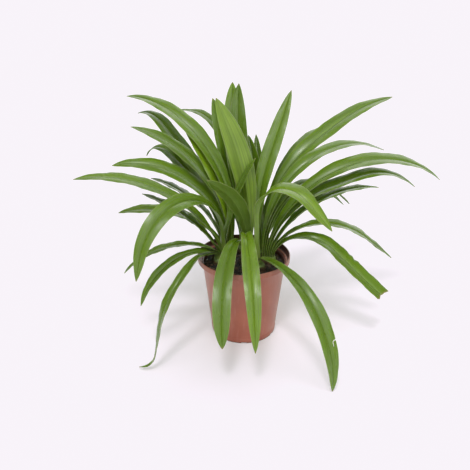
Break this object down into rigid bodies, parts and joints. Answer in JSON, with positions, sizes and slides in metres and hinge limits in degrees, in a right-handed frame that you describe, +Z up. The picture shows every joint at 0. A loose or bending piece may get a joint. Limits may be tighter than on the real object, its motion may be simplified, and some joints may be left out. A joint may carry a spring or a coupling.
{
  "type": "potted spider lily",
  "caption": "Young spider lily with fans of long arching strap leaves growing from bulbs in dark potting mix, in a thin round tapered nursery pot.",
  "frame": {"origin": "on the pot's axis, in the plane that its foot stands on", "axes": "+Z up along the pot's axis; the side that the picture sees faces -Y, and its right is +X"},
  "size_m": [0.6613, 0.5081, 0.4465],
  "materials": {
    "pot_plastic": "satin",
    "soil": "matte",
    "bulb_sheath": "satin",
    "foliage": "satin"
  },
  "bodies": {
    "root": {"pot": "pot_plastic", "soil": "soil", "bulb_left": "bulb_sheath", "bulb_back_left": "bulb_sheath", "bulb_back": "bulb_sheath", "bulb_back_right": "bulb_sheath", "bulb_far_right": "bulb_sheath", "bulb_right": "bulb_sheath", "bulb_middle": "bulb_sheath", "leaf_left_1": "foliage", "leaf_left_2": "foliage", "leaf_left_3": "foliage", "leaf_left_4": "foliage", "leaf_left_5": "foliage", "leaf_left_6": "foliage", "leaf_left_7": "foliage", "leaf_back_left_1": "foliage", "leaf_back_left_2": "foliage", "leaf_back_left_3": "foliage", "leaf_back_left_4": "foliage", "leaf_back_left_5": "foliage", "leaf_back_left_6": "foliage", "leaf_back_left_7": "foliage", "leaf_back_left_8": "foliage", "leaf_back_1": "foliage", "leaf_back_2": "foliage", "leaf_back_3": "foliage", "leaf_back_4": "foliage", "leaf_back_5": "foliage", "leaf_back_6": "foliage", "leaf_back_right_1": "foliage", "leaf_back_right_2": "foliage", "leaf_back_right_3": "foliage", "leaf_back_right_4": "foliage", "leaf_back_right_5": "foliage", "leaf_back_right_6": "foliage", "leaf_far_right_1": "foliage", "leaf_far_right_2": "foliage", "leaf_far_right_3": "foliage", "leaf_far_right_4": "foliage", "leaf_far_right_5": "foliage", "leaf_far_right_6": "foliage", "leaf_far_right_7": "foliage", "leaf_far_right_8": "foliage", "leaf_right_1": "foliage", "leaf_right_2": "foliage", "leaf_middle_1": "foliage", "leaf_middle_2": "foliage", "leaf_middle_3": "foliage", "leaf_middle_4": "foliage"}
  },
  "joints": []
}
